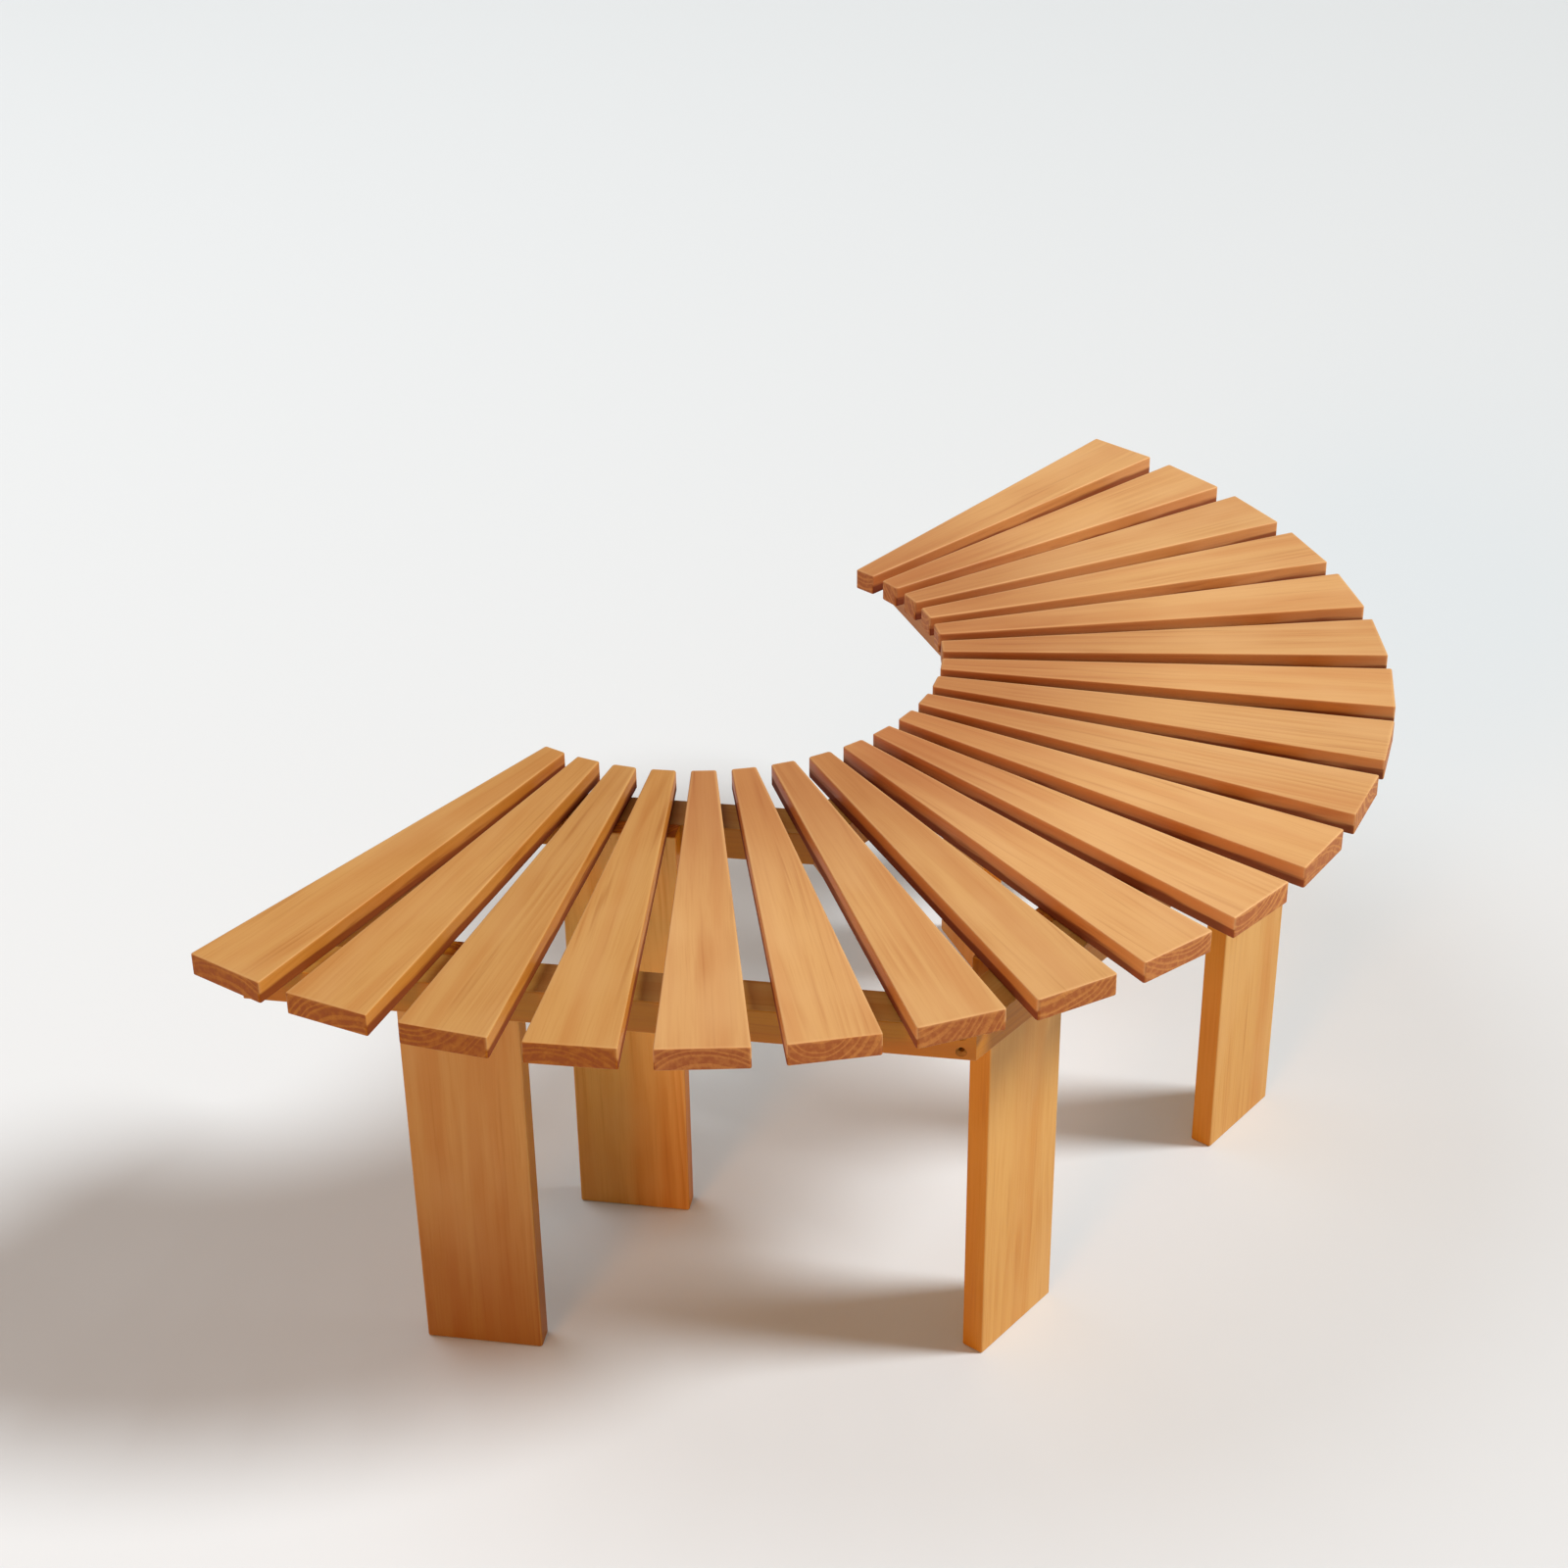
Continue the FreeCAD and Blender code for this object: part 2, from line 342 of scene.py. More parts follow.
def growth_rings(tree, log):
    """Places in the log as they bent in growth, with the summer wood and the knots that lie there."""
    # The tree leans and bends a little, so its rings wander along a board
    place = add(tree, "ShaderNodeVectorMath", {0: log, 1: per_metre((BEND_LONG_MM, BEND_WIDE_MM))},
                operation="MULTIPLY")[0]
    bend = add(tree, "ShaderNodeTexNoise", {"Vector": place, "Scale": 1.0, "Detail": 2.0})["Color"]
    bent = add(tree, "ShaderNodeVectorMath", {0: bend, 1: (BEND_DEPTH_MM * MM,) * 3, 2: log},
               operation="MULTIPLY_ADD")[0]
    along, across, up = add(tree, "ShaderNodeSeparateXYZ", {0: bent})
    outwards = add(tree, "ShaderNodeCombineXYZ", {"Y": across, "Z": up})[0]
    radius = add(tree, "ShaderNodeVectorMath", {0: outwards}, operation="LENGTH")["Value"]
    grown = add(tree, "ShaderNodeMath", {0: along, 1: LOG_TAPER, 2: radius}, operation="MULTIPLY_ADD")[0]

    # A branch runs out from the pith as a small knot, and the rings swell round it
    turn = add(tree, "ShaderNodeMath", {0: up, 1: across}, operation="ARCTAN2")[0]
    level = add(tree, "ShaderNodeMath", {0: along, 1: 1 / (KNOT_GAP_MM * MM)}, operation="MULTIPLY")[0]
    bearing = add(tree, "ShaderNodeMath", {0: turn, 1: PITH_TO_FACE_MM / KNOT_GAP_MM},
                  operation="MULTIPLY")[0]
    branch = add(tree, "ShaderNodeCombineXYZ", {"X": level, "Y": bearing})[0]
    from_knot = add(tree, "ShaderNodeTexVoronoi", {"Vector": branch, "Scale": 1.0},
                    voronoi_dimensions="2D")["Distance"]
    knot_size = KNOT_MM / KNOT_GAP_MM
    knot = add(tree, "ShaderNodeMapRange", {0: from_knot, 1: knot_size, 2: KNOT_HEART * knot_size},
               interpolation_type="SMOOTHSTEP")[0]
    swell = add(tree, "ShaderNodeMapRange", {0: from_knot, 1: KNOT_SWELL_MM / KNOT_GAP_MM, 2: 0.0,
                                             4: KNOT_SWELL_YEARS}, interpolation_type="SMOOTHSTEP")[0]

    # Good and poor years make wide and narrow rings. In each the summer wood comes slowly and ends sharply
    years = add(tree, "ShaderNodeMath", {0: grown, 1: 1 / (RING_MM * MM), 2: swell},
                operation="MULTIPLY_ADD")[0]
    weather = add(tree, "ShaderNodeTexNoise", {"W": years, "Scale": WEATHER_PER_YEAR, "Detail": 1.0},
                  noise_dimensions="1D")[0]
    dated = add(tree, "ShaderNodeMath", {0: weather, 1: RING_DRIFT_YEARS, 2: years},
                operation="MULTIPLY_ADD")[0]
    season = add(tree, "ShaderNodeMath", {0: dated}, operation="FRACT")[0]
    darkening = add(tree, "ShaderNodeMapRange", {0: season, 1: SUMMER_DARKENS[0], 2: SUMMER_DARKENS[1]},
                    interpolation_type="SMOOTHSTEP")[0]
    ending = add(tree, "ShaderNodeMapRange", {0: season, 1: WINTER_COMES[0], 2: WINTER_COMES[1], 3: 1.0,
                                              4: 0.0}, interpolation_type="SMOOTHSTEP")[0]
    summer = add(tree, "ShaderNodeMath", {0: darkening, 1: ending}, operation="MULTIPLY")[0]
    return bent, summer, knot


def grain_marks(tree, log, bent):
    """Patterns of the fibres, streaks and bands that follow the bent grain, and of the clouds over it."""
    marks = []
    for place, size_mm, detail, roughness in (
        (bent, FIBRE_MM, 3.0, 0.6),
        (bent, STREAK_MM, 2.0, 0.5),
        (bent, BAND_MM, 1.0, 0.5),
        (log, CLOUD_MM, 2.0, 0.5),
    ):
        drawn = add(tree, "ShaderNodeVectorMath", {0: place, 1: per_metre(size_mm)},
                    operation="MULTIPLY")[0]
        marks.append(add(tree, "ShaderNodeTexNoise", {"Vector": drawn, "Scale": 1.0, "Detail": detail,
                                                      "Roughness": roughness})[0])
    return marks


def marked(tree, colour, marks):
    """Lay marks over a colour, each where its pattern is high."""
    for pattern, (start, full, strength), mark in marks:
        share = add(tree, "ShaderNodeMapRange", {0: pattern, 1: start, 2: full, 4: strength},
                    interpolation_type="SMOOTHSTEP")[0]
        colour = add(tree, "ShaderNodeMix", {0: share, 6: colour, 7: linear(mark)}, data_type="RGBA")[2]
    return colour


def oiled_softwood():
    """Planed softwood under garden oil, as it lies in the log: X runs up the tree and the pith is on X.

    Growth rings draw arcs on the ends and long soft flames on the faces. Oil has sunk deeper into the
    ends, so they are a dark orange with paler arcs, and rounded edges are paler, partly rubbed and partly
    a painted highlight. Shade is painted low on a seat board's sides, down in the gaps. Painted shade
    deepens a seat board by the trunk, and a leg at its foot.
    """
    tree = bpy.data.node_groups.new("oiled_softwood", "ShaderNodeTree")
    for name, kind in (("Log", "Vector"), ("Board", "Vector"), ("Facing", "Vector"), ("Tone", "Float"),
                       ("Oil", "Float"), ("GapShade", "Float"), ("EndShade", "Float")):
        tree.interface.new_socket(name, in_out="INPUT", socket_type="NodeSocket" + kind)
    for name, kind in (("Color", "Color"), ("Roughness", "Float"), ("Height", "Float")):
        tree.interface.new_socket(name, in_out="OUTPUT", socket_type="NodeSocket" + kind)
    log, board, facing, tone, oil, gap_shade, end_shade_share = add(tree, "NodeGroupInput")[:7]
    bent, summer, knot = growth_rings(tree, log)
    fibre, streak, band, cloud = grain_marks(tree, log, bent)
    fade = add(tree, "ShaderNodeTexNoise", {"Vector": log, "Scale": 1 / (RING_FADE_MM * MM),
                                            "Detail": 1.0})[0]

    # What looks along the grain is an end, what looks across it is a side, and what looks no one way is a
    # rounded edge
    looks = add(tree, "ShaderNodeVectorMath", {0: facing}, operation="ABSOLUTE")[0]
    endwise, sideways, flatwise = add(tree, "ShaderNodeSeparateXYZ", {0: looks})
    end = add(tree, "ShaderNodeMapRange", {0: endwise, 1: LOOKS_THAT_WAY[0], 2: LOOKS_THAT_WAY[1]},
              interpolation_type="SMOOTHSTEP")[0]
    side = add(tree, "ShaderNodeMapRange", {0: sideways, 1: LOOKS_THAT_WAY[0], 2: LOOKS_THAT_WAY[1]})[0]
    straight = add(tree, "ShaderNodeMath", {0: endwise, 1: sideways}, operation="MAXIMUM")[0]
    straight = add(tree, "ShaderNodeMath", {0: straight, 1: flatwise}, operation="MAXIMUM")[0]
    rounded = add(tree, "ShaderNodeMapRange", {0: straight, 1: ROUNDED_OFF[0], 2: ROUNDED_OFF[1]},
                  interpolation_type="SMOOTHSTEP")[0]

    # Faces: spring wood with its rings, which fade in and out, and its other marks
    shown = add(tree, "ShaderNodeMapRange", {0: fade, 1: RINGS_SHOW[0], 2: RINGS_SHOW[1], 4: RINGS_SHOW[2]},
                interpolation_type="SMOOTHSTEP")[0]
    rings = add(tree, "ShaderNodeMath", {0: summer, 1: shown}, operation="MULTIPLY")[0]
    colour = add(tree, "ShaderNodeMix", {0: rings, 6: linear(SPRING_WOOD), 7: linear(SUMMER_WOOD)},
                 data_type="RGBA")[2]
    colour = marked(tree, colour, (
        (fibre, FIBRES_SHOW, SUMMER_WOOD),
        (streak, STREAKS_SHOW, STREAK_WOOD),
        (band, BANDS_SHOW, BAND_WOOD),
        (cloud, CLOUDS_SHOW, CLOUD_WOOD),
    ))
    knots = add(tree, "ShaderNodeMath", {0: knot, 1: KNOTS_SHOW}, operation="MULTIPLY")[0]
    colour = add(tree, "ShaderNodeMix", {0: knots, 6: colour, 7: linear(KNOT_WOOD)}, data_type="RGBA")[2]

    # Sides, partly for their edge grain and partly as painted shade, painted shade by the trunk and at the
    # feet, and painted shade low in the gaps each deepen the colour
    out, _, height = add(tree, "ShaderNodeSeparateXYZ", {0: board})
    end_shade = add(tree, "ShaderNodeMapRange", {0: out, 1: END_SHADE_FROM_MM * MM,
                                                  2: END_SHADE_FULL_MM * MM, 4: end_shade_share},
                     interpolation_type="SMOOTHSTEP")[0]
    drifted = add(tree, "ShaderNodeMath", {0: streak, 1: GAP_SHADE_DRIFT_MM * MM, 2: height},
                  operation="MULTIPLY_ADD")[0]
    low = add(tree, "ShaderNodeMapRange", {0: drifted, 1: GAP_SHADE_FROM_MM * MM, 2: GAP_SHADE_FULL_MM * MM,
                                           4: gap_shade}, interpolation_type="SMOOTHSTEP")[0]
    gap_shaded = add(tree, "ShaderNodeMapRange", {0: sideways, 1: LEANS_OVER[0], 2: LEANS_OVER[1], 4: low})[0]
    for share, tint in ((side, SIDE_GRAIN_AND_SHADE), (end_shade, PAINTED_END_SHADE), (gap_shaded, GAP_SHADE)):
        colour = add(tree, "ShaderNodeMix", {0: share, 6: colour, 7: linear(tint)}, data_type="RGBA",
                     blend_type="MULTIPLY")[2]

    # Ends: pale arcs, fibres and streaks in the dark orange
    arcs = add(tree, "ShaderNodeMapRange", {0: summer, 1: END_RINGS_SHOW[0], 2: END_RINGS_SHOW[1],
                                            4: END_RINGS_SHOW[2]}, interpolation_type="SMOOTHSTEP")[0]
    arcs = add(tree, "ShaderNodeMath", {0: arcs, 1: fade}, operation="MULTIPLY")[0]
    drunk = add(tree, "ShaderNodeMix", {0: arcs, 6: linear(END_DARK), 7: linear(END_PALE)},
                data_type="RGBA")[2]
    drunk = marked(tree, drunk, ((fibre, END_FIBRES_SHOW, END_DEEP), (streak, END_STREAKS_SHOW, END_PALE)))
    colour = add(tree, "ShaderNodeMix", {0: end, 6: colour, 7: drunk}, data_type="RGBA")[2]

    # Rounded edges, and what the mesh itself says is rubbed, are paler where they are clear of the painted
    # gap
    # shade: partly worn and partly a painted highlight
    rubbed_and_highlit = add(tree, "ShaderNodeAttribute", attribute_name="rubbed_and_highlit")["Fac"]
    rubbed_and_highlit = add(tree, "ShaderNodeMath", {0: rounded, 1: rubbed_and_highlit}, operation="MAXIMUM")[0]
    patchy = add(tree, "ShaderNodeMapRange", {0: cloud, 1: WORN_AND_HIGHLIT_CLOUDS[0], 2: WORN_AND_HIGHLIT_CLOUDS[1],
                                              3: WORN_AND_HIGHLIT_SHARES[0], 4: WORN_AND_HIGHLIT_SHARES[1]})[0]
    worn_and_highlit = add(tree, "ShaderNodeMath", {0: rubbed_and_highlit, 1: patchy}, operation="MULTIPLY")[0]
    clear = add(tree, "ShaderNodeMath", {0: 1.0, 1: low}, operation="SUBTRACT")[0]
    worn_and_highlit = add(tree, "ShaderNodeMath", {0: worn_and_highlit, 1: clear}, operation="MULTIPLY")[0]
    colour = add(tree, "ShaderNodeMix", {0: worn_and_highlit, 6: colour, 7: linear(WORN_AND_HIGHLIT_WOOD)}, data_type="RGBA")[2]
    toned = add(tree, "ShaderNodeHueSaturation", {"Saturation": oil, "Value": tone, "Color": colour})[0]

    # Gloss and relief
    rough = SATIN
    for mark, dullness in ((end, END_DULLNESS), (gap_shaded, GAP_SHADE_DULLNESS), (worn_and_highlit, WORN_DULLNESS),
                           (fibre, FIBRE_DULLNESS)):
        rough = add(tree, "ShaderNodeMath", {0: mark, 1: dullness, 2: rough}, operation="MULTIPLY_ADD")[0]
    raised = fibre
    for mark, relief in ((summer, SUMMER_RELIEF), (streak, STREAK_RELIEF)):
        raised = add(tree, "ShaderNodeMath", {0: mark, 1: relief, 2: raised}, operation="MULTIPLY_ADD")[0]
    add(tree, "NodeGroupOutput", {"Color": toned, "Roughness": rough, "Height": raised})
    return tree


def new_material(name):
    """A material with nothing in it yet, and its node tree."""
    material = bpy.data.materials.new(name)
    material.use_nodes = True
    material.node_tree.nodes.clear()
    return material, material.node_tree


def sawn_from(rng, middle, turn):
    """Where a board's log lay: along the board, with the pith aside, above or below, and a little askew."""
    aside = Vector((
        rng.uniform(0, LOG_REACH_MM),
        rng.uniform(-PITH_ASIDE_MM, PITH_ASIDE_MM),
        rng.choice((-1, 1)) * rng.uniform(*PITH_BELOW_MM),
    )) * MM
    dip, swing = (rng.uniform(-most, most) for most in SAWN_ASKEW)
    askew = Euler((0, dip, swing)).to_matrix().to_4x4()
    return Matrix.Translation(middle) @ turn.to_4x4() @ askew @ Matrix.Translation(-aside)


def timber(name, softwood, turn, rng, tones, oil, gap_shade=0.0, end_shade_share=0.0):
    """Oiled softwood for one board from a log of its own. Its turn points its length, width and face."""
    middle = middle_of(name)
    log = sawn_from(rng, middle, turn)
    material, tree = new_material("oiled_softwood_" + name)
    places = add(tree, "ShaderNodeTexCoord")
    in_log = add(tree, "ShaderNodeMapping", {"Vector": places["Object"], "Location": log.translation,
                                             "Rotation": log.to_euler()}, vector_type="TEXTURE")[0]
    in_board = add(tree, "ShaderNodeMapping", {"Vector": places["Object"], "Location": middle,
                                               "Rotation": turn.to_euler()}, vector_type="TEXTURE")[0]
    facing = add(tree, "ShaderNodeMapping", {"Vector": places["Normal"], "Rotation": turn.to_euler()},
                 vector_type="TEXTURE")[0]
    wood = add(tree, "ShaderNodeGroup", {"Log": in_log, "Board": in_board, "Facing": facing,
                                         "Tone": rng.uniform(*tones), "Oil": oil, "GapShade": gap_shade,
                                         "EndShade": end_shade_share}, node_tree=softwood)
    bump = add(tree, "ShaderNodeBump", {"Height": wood["Height"], "Strength": GRAIN_STRENGTH,
                                        "Distance": GRAIN_DEPTH_MM * MM})[0]
    shader = add(tree, "ShaderNodeBsdfPrincipled", {"Base Color": wood["Color"], "Normal": bump,
                                                    "Roughness": wood["Roughness"],
                                                    "Specular IOR Level": OIL_GLOSS})[0]
    add(tree, "ShaderNodeOutputMaterial", {"Surface": shader})
    return material


def mottled(name, colours, size_mm, detail, roughness, relief, metallic):
    """Finish of a fixing: a fine mottle between two colours, that also varies its gloss and relief."""
    material, tree = new_material(name)
    places = add(tree, "ShaderNodeTexCoord")
    mottle = add(tree, "ShaderNodeTexNoise", {"Vector": places["Object"], "Scale": 1 / (size_mm * MM),
                                              "Detail": detail})[0]
    colour = add(tree, "ShaderNodeMix", {0: mottle, 6: linear(colours[0]), 7: linear(colours[1])},
                 data_type="RGBA")[2]
    rough = add(tree, "ShaderNodeMapRange", {0: mottle, 3: roughness[0], 4: roughness[1]})[0]
    bump = add(tree, "ShaderNodeBump", {"Height": mottle, "Strength": relief,
                                        "Distance": MOTTLE_DEPTH_MM * MM})[0]
    shader = add(tree, "ShaderNodeBsdfPrincipled", {"Base Color": colour, "Metallic": metallic,
                                                    "Roughness": rough, "Normal": bump})[0]
    add(tree, "ShaderNodeOutputMaterial", {"Surface": shader})
    return material


def zinc_plated_steel():
    """Yellow zinc on steel, as on chipboard screws: a thin golden mirror that has clouded outdoors."""
    return mottled("yellow_zinc_plated_steel", ZINC_COLOURS, ZINC_MOTTLE_MM, ZINC_DETAIL, ZINC_ROUGHNESS,
                   ZINC_RELIEF, metallic=1.0)


def beech():
    """Beech dowel rod, turned and unfinished: pale pinkish brown with small darker flecks."""
    return mottled("turned_beech", BEECH_COLOURS, BEECH_MOTTLE_MM, BEECH_DETAIL, BEECH_ROUGHNESS,
                   BEECH_RELIEF, metallic=0.0)


def dress(node, material):
    """Give a CAD node its finish."""
    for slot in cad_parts[node].material_slots:
        slot.material = material


def finished(bm, name, material, slot, *nodes):
    """Make a piece of a modelled mesh, in the place of its CAD nodes."""
    for face in bm.faces:
        face.smooth = True
    mesh = bpy.data.meshes.new(name)
    bm.to_mesh(mesh)
    bm.free()
    mesh.materials.append(material)
    piece = bpy.data.objects.new(name, mesh)
    bpy.context.scene.collection.objects.link(piece)
    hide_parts(*nodes)
    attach(piece, "root")


def cut(bm, place, normal):
    """Cut a whole mesh along a plane, leaving it in one piece."""
    whole = bm.verts[:] + bm.edges[:] + bm.faces[:]
    bmesh.ops.bisect_plane(bm, geom=whole, plane_co=place, plane_no=normal)


def slat_board(index, material, rng):
    """One seat board: sawn to its taper, its corners sanded, its edges eased by hand and a little worn."""
    node = "slat_%02d" % (index + 1)
    inner_end, outer_end = reach(node, ahead(slat_deg(index)))
    right, left = reach(node, ahead(slat_deg(index) + 90))
    low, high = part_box(node)
    size = Vector((outer_end - inner_end, left - right, high.z - low.z))

    bm = bmesh.new()
    bmesh.ops.create_cube(bm, size=1.0)
    bmesh.ops.scale(bm, vec=size, verts=bm.verts)
    narrow = [vert for vert in bm.verts if vert.co.x < 0]
    bmesh.ops.scale(bm, vec=(1, SLAT_INNER_WIDTH / size.y, 1), verts=narrow)

    corners = [edge for edge in bm.edges if abs(edge.verts[0].co.z - edge.verts[1].co.z) > size.z / 2]
    bmesh.ops.bevel(bm, geom=corners, offset=rng.uniform(*SANDED_CORNER_MM) * MM, segments=EDGE_STEPS,
                    profile=0.5, affect="EDGES", material=-1)
    level = [edge for edge in bm.edges if edge.verts[0].co.z == edge.verts[1].co.z]
    bmesh.ops.bevel(bm, geom=level, offset=EASED_EDGE, segments=EDGE_STEPS, profile=0.5,
                    affect="EDGES", material=-1)

    # Cuts close to each edge keep the faces flat between them
    rim = size / 2 - Vector((SUPPORT_RIM, SUPPORT_RIM, SUPPORT_RIM))
    taper = (SLAT_INNER_WIDTH - size.y) / 2
    for side in (-1, 1):
        cut(bm, X * rim.x * side, X)
        cut(bm, Z * rim.z * side, Z)
        cut(bm, Vector((size.x / 2, rim.y * side, 0)), Vector((taper, size.x * side, 0)))

    # Stations along the board and across it, for the waves that the plane and the sander leave
    stations = round(size.x / STATION_GAP)
    for step in range(1, stations):
        cut(bm, X * size.x * (step / stations - 0.5), X)
    for share in CROSS_STATIONS:
        cut(bm, Y * size.y * share, Y)

    # What is sanded or worn away, most of it at the edges, which the finish shows paler: partly as rubbed
    # and partly as a painted highlight
    bm.normal_update()
    rubbed_and_highlit = bm.verts.layers.float.new("rubbed_and_highlit")
    seed = Vector([index * step for step in NEXT_BOARD])
    for vert in bm.verts:
        flat = max(abs(part) for part in vert.normal)
        wave = 0.5 + 0.5 * noise.noise(vert.co / (WAVE_MM * MM) + seed)
        nick = max(0.0, noise.noise(vert.co / (NICK_MM * MM) + seed)) * (1 - flat)
        upwards = abs(vert.normal.z)
        vert[rubbed_and_highlit] = 0.0 if flat > FLAT_ENOUGH else LEAST_RUBBED_AND_HIGHLIT + (1 - LEAST_RUBBED_AND_HIGHLIT) * upwards
        vert.co -= vert.normal * MM * (WAVE_DEPTH_MM * wave + NICK_DEPTH_MM * nick)

    middle = TRUNK + ahead(slat_deg(index)) * (inner_end + outer_end) / 2 + Z * (low.z + high.z) / 2
    place = Matrix.Translation(middle) @ lengthwise(slat_deg(index)).to_4x4()
    bmesh.ops.transform(bm, matrix=place, verts=bm.verts)
    finished(bm, "seat_board_%02d" % (index + 1), material, "seat_timber", node)


def fixings_in(node):
    """Head and tip of each screw in a CAD node: the rim of a head is what lies farthest from the tip."""
    bm = bmesh.new()
    bm.from_mesh(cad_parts[node].data)
    bmesh.ops.remove_doubles(bm, verts=bm.verts, dist=SAME_PLACE)
    seen = set()
    found = []
    for start in bm.verts:
        if start.index in seen:
            continue
        seen.add(start.index)
        solid = [start]
        for vert in solid:
            for edge in vert.link_edges:
                other = edge.other_vert(vert)
                if other.index not in seen:
                    seen.add(other.index)
                    solid.append(other)
        centre = sum((vert.co for vert in solid), Vector()) / len(solid)
        tip = max(solid, key=lambda vert: (vert.co - centre).length).co
        away = max((vert.co - tip).length for vert in solid)
        rim = [vert.co for vert in solid if (vert.co - tip).length > away - SAME_PLACE]
        found.append((sum(rim, Vector()) / len(rim), tip.copy()))
    bm.free()
    return found


def round_head(part):
    """Where a corner of the head's square grid goes on its round."""
    return Vector((part.x * math.sqrt(1 - part.y ** 2 / 2), part.y * math.sqrt(1 - part.x ** 2 / 2), 0))


def screw(bm, head, tip, turn):
    """Add one countersunk screw with a cross recess to a mesh, from its head to its tip."""
    cells = len(HEAD_LINES) - 1
    made = bmesh.ops.create_grid(bm, x_segments=cells, y_segments=cells, size=0.5)["verts"]
    for vert in made:
        column, row = (round((part + 0.5) * cells) for part in vert.co.xy)
        vert.co = round_head(Vector((HEAD_LINES[column], HEAD_LINES[row], 0))) * HEAD_RADIUS
    faces = list(dict.fromkeys(face for vert in made for face in vert.link_faces))
    rim = [edge for face in faces for edge in face.edges if edge.is_boundary]

    slots = []
    for face in faces:
        centre = face.calc_center_median() / HEAD_RADIUS
        if min(abs(centre.x), abs(centre.y)) < ON_MIDDLE_LINE and centre.length < RECESS_REACH:
            slots.append(face)
    sunk = bmesh.ops.extrude_face_region(bm, geom=slots)
    floor = [item for item in sunk["geom"] if isinstance(item, bmesh.types.BMVert)]
    bmesh.ops.delete(bm, geom=slots, context="FACES_ONLY")
    bmesh.ops.scale(bm, vec=(RECESS_TAPER, RECESS_TAPER, 1), verts=floor)
    bmesh.ops.translate(bm, vec=(0, 0, -RECESS_DEPTH), verts=floor)
    made += floor

    # The rim is drawn down in rings: the head's edge, its cone, the shank and the point
    length = (tip - head).length
    rings = (
        (1.0, HEAD_RIM),
        (SHANK_RADIUS / HEAD_RADIUS, HEAD_CONE),
        (1.0, length - HEAD_RIM - HEAD_CONE - POINT_LENGTH),
        (POINT_BLUNTNESS, POINT_LENGTH),
    )
    for share, drop in rings:
        drawn = bmesh.ops.extrude_edge_only(bm, edges=rim)["geom"]
        ring = [item for item in drawn if isinstance(item, bmesh.types.BMVert)]
        rim = [item for item in drawn if isinstance(item, bmesh.types.BMEdge)]
        bmesh.ops.scale(bm, vec=(share, share, 1), verts=ring)
        bmesh.ops.translate(bm, vec=(0, 0, -drop), verts=ring)
        made += ring
    bmesh.ops.holes_fill(bm, edges=rim)

    heading = (head - tip).to_track_quat("Z", "Y").to_matrix().to_4x4()
    place = Matrix.Translation(head) @ heading @ Matrix.Rotation(turn, 4, "Z")
    bmesh.ops.transform(bm, matrix=place, verts=made)


def screw_set(node, material, rng):
    """All screws of one CAD node, each driven home at its own turn."""
    bm = bmesh.new()
    for head, tip in fixings_in(node):
        screw(bm, head, tip, rng.uniform(0, math.pi / 2))
    bmesh.ops.recalc_face_normals(bm, faces=bm.faces)
    finished(bm, "countersunk_" + node, material, "screw_steel", node)


def build_bench():
    """Dress every board and fixing of the bench."""
    rng = random.Random(TIMBER_SEED)
    softwood = oiled_softwood()
    for index in range(SLAT_COUNT):
        # A seat board's run gives its tones, its oil and how far shade is painted at its inner end
        tones, oil, end_shade_share = next(shade_run[1:] for shade_run in SEAT_SHADE_RUNS if index < shade_run[0])
        node = "slat_%02d" % (index + 1)
        turn = lengthwise(slat_deg(index))
        # Each seat board takes the shade painted low in its gaps in full
        slat_board(index, timber(node, softwood, turn, rng, tones, oil, gap_shade=1.0, end_shade_share=end_shade_share), rng)

    turns = {
        "end_bearer_left": lengthwise(slat_deg(0)),
        "corner_bearer_left": lengthwise(START_DEG + SWEEP_DEG / len(BAYS)),
        "corner_bearer_right": lengthwise(START_DEG + SWEEP_DEG * 2 / len(BAYS)),
        "end_bearer_right": lengthwise(slat_deg(SLAT_COUNT - 1)),
    }
    for bay in BAYS:
        turns["outer_rail_" + bay] = lengthwise(bay_deg(bay) + 90)
        turns["inner_rail_" + bay] = lengthwise(bay_deg(bay) + 90)
    for node, turn in turns.items():
        dress(node, timber(node, softwood, turn, rng, RAIL_TONES, RAIL_OIL))
    for node, (bay, tones, end_shade_share) in LEGS.items():
        dress(node, timber(node, softwood, upright(bay_deg(bay)), rng, tones, LEG_OIL, end_shade_share=end_shade_share))

    steel = zinc_plated_steel()
    for node in SCREW_NODES:
        screw_set(node, steel, rng)
    rod = beech()
    for node in DOWEL_NODES:
        dress(node, rod)


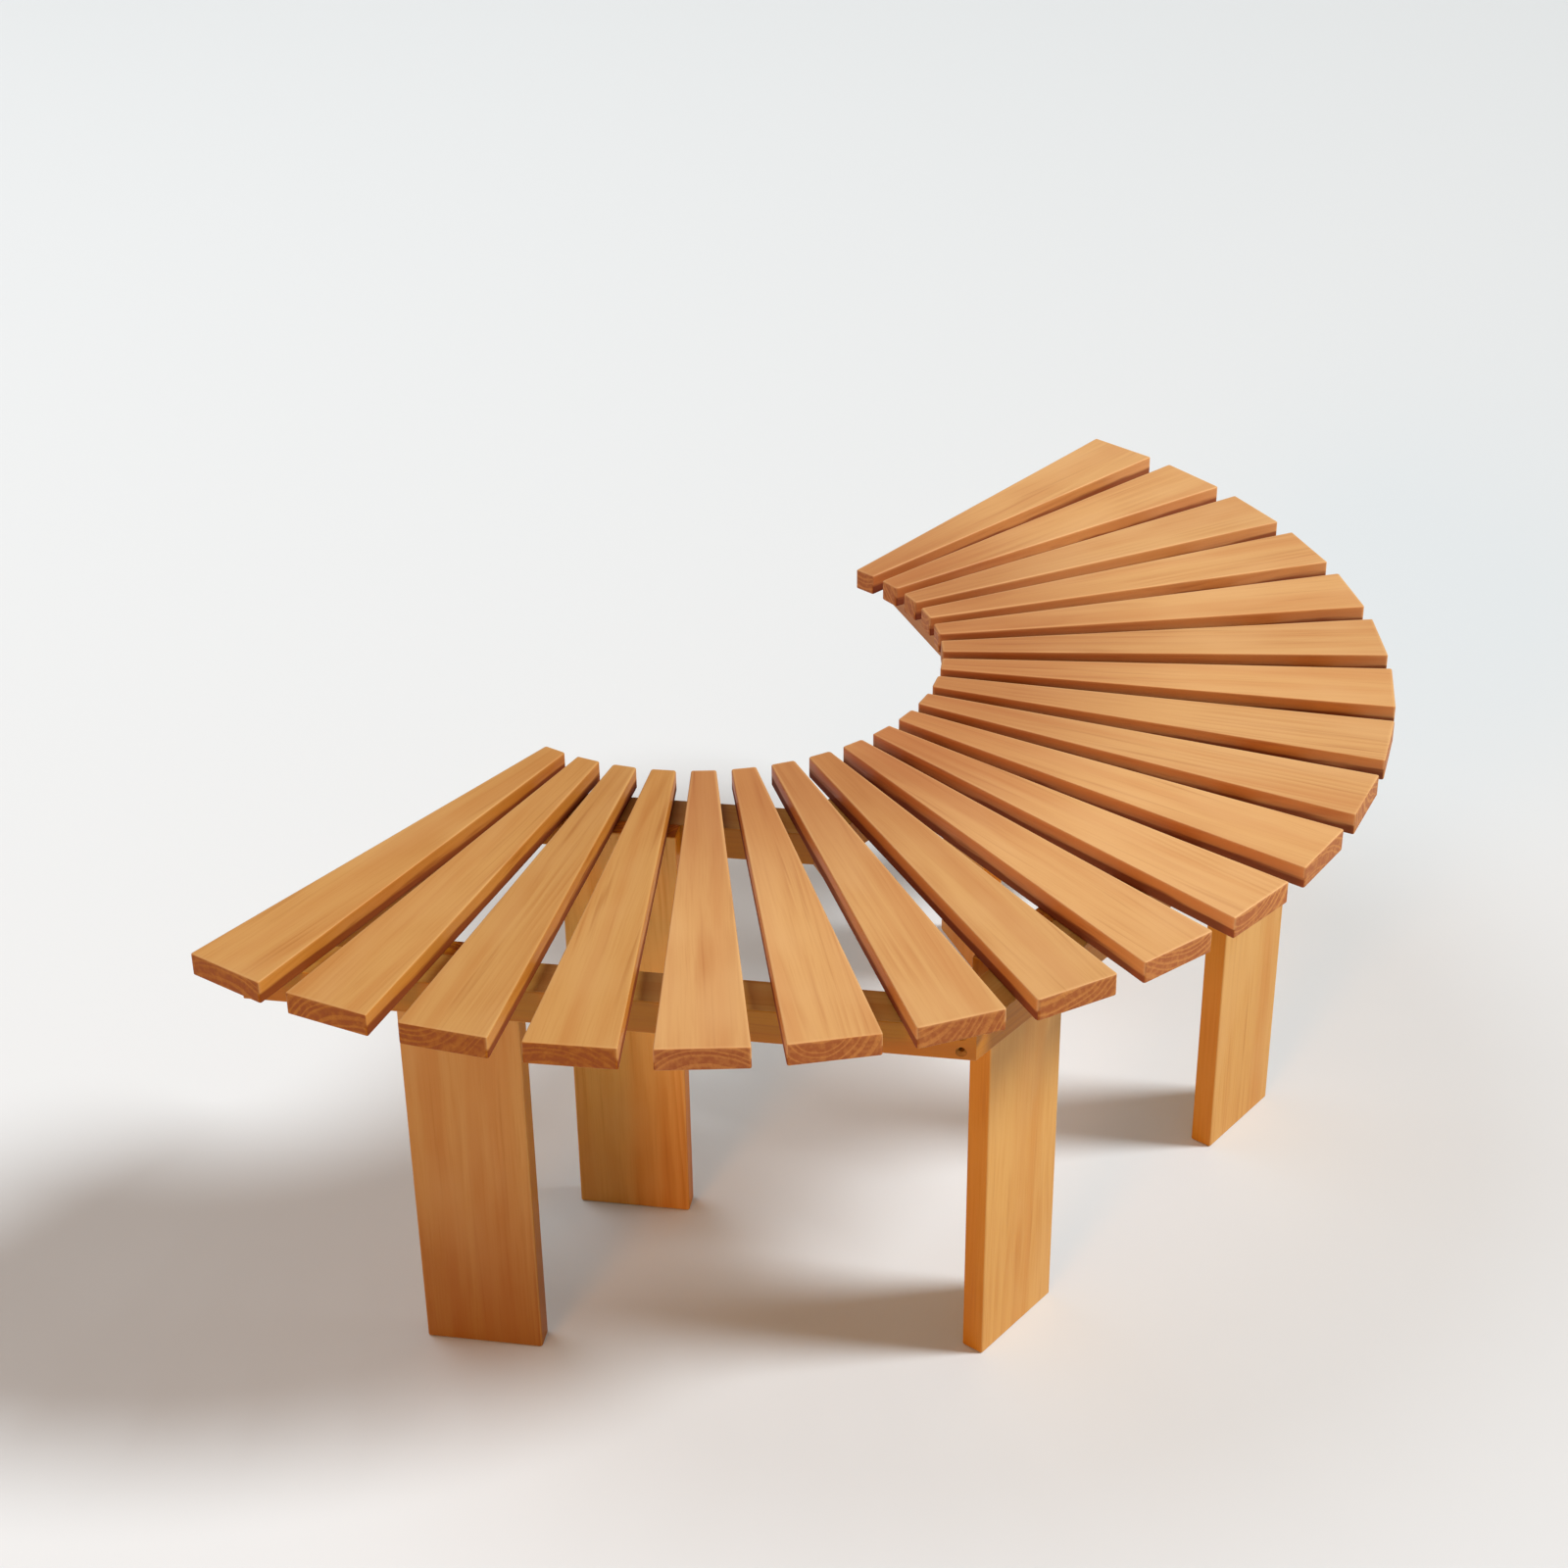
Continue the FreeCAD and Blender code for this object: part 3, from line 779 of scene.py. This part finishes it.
def studio():
    """Pale floor, a soft key light from the front right, a warm low one from the left and one overhead."""
    bpy.ops.mesh.primitive_grid_add(x_subdivisions=FLOOR_CELLS, y_subdivisions=FLOOR_CELLS, size=FLOOR_SIZE)
    floor = bpy.context.object
    floor.name = "floor"
    for vert in floor.data.vertices:
        vert.co.z = FLOOR_RISE * max(0.0, vert.co.xy.length - FLAT_FLOOR) ** 2
    floor.data.shade_smooth()
    paint = bpy.data.materials.new("matt_white_floor")
    paint.use_nodes = True
    shader = paint.node_tree.nodes["Principled BSDF"]
    shader.inputs["Base Color"].default_value = linear(FLOOR_PAINT)
    shader.inputs["Roughness"].default_value = FLOOR_ROUGHNESS
    floor.data.materials.append(paint)

    world = bpy.data.worlds.new("studio")
    bpy.context.scene.world = world
    world.use_nodes = True
    background = world.node_tree.nodes["Background"]
    background.inputs["Color"].default_value = linear(ROOM_COLOUR)
    background.inputs["Strength"].default_value = ROOM_STRENGTH

    key = bpy.data.lights.new("key", "SUN")
    key.energy = KEY_STRENGTH
    key.angle = math.radians(KEY_BREADTH_DEG)
    key.color = linear(KEY_COLOUR)[:3]
    lit_from(key, *KEY_PLACE_DEG)
    for name, deg, rise, width, power, colour in SOFT_LIGHTS:
        light = bpy.data.lights.new(name, "AREA")
        light.shape = "DISK"
        light.size = width
        light.energy = power
        light.color = linear(colour)[:3]
        lit_from(light, deg, rise)


def lit_from(light, deg, rise):
    """Place a light that looks at the bench from an angle, lifted above the floor."""
    lamp = bpy.data.objects.new(light.name, light)
    bpy.context.scene.collection.objects.link(lamp)
    lifted = ahead(deg) * math.cos(math.radians(rise)) + Z * math.sin(math.radians(rise))
    lamp.location = lifted * LIGHT_DISTANCE
    lamp.rotation_euler = lifted.to_track_quat("Z", "Y").to_euler()


def camera():
    """Camera at the photograph's place and lens."""
    data = bpy.data.cameras.new("camera")
    data.sensor_width = SENSOR_MM
    data.lens = SENSOR_MM * FOCAL_PX / FRAME_PX
    seen = bpy.data.objects.new("camera", data)
    bpy.context.scene.collection.objects.link(seen)
    seen.matrix_world = (
        Matrix.Translation(CAMERA_PLACE)
        @ Matrix.Rotation(math.radians(-CAMERA_YAW_DEG), 4, "Z")
        @ Matrix.Rotation(math.radians(90 - CAMERA_PITCH_DEG), 4, "X")
        @ Matrix.Rotation(math.radians(CAMERA_ROLL_DEG), 4, "Z")
    )
    bpy.context.scene.camera = seen


build_bench()
studio()
camera()
bpy.context.scene.view_settings.view_transform = "Standard"
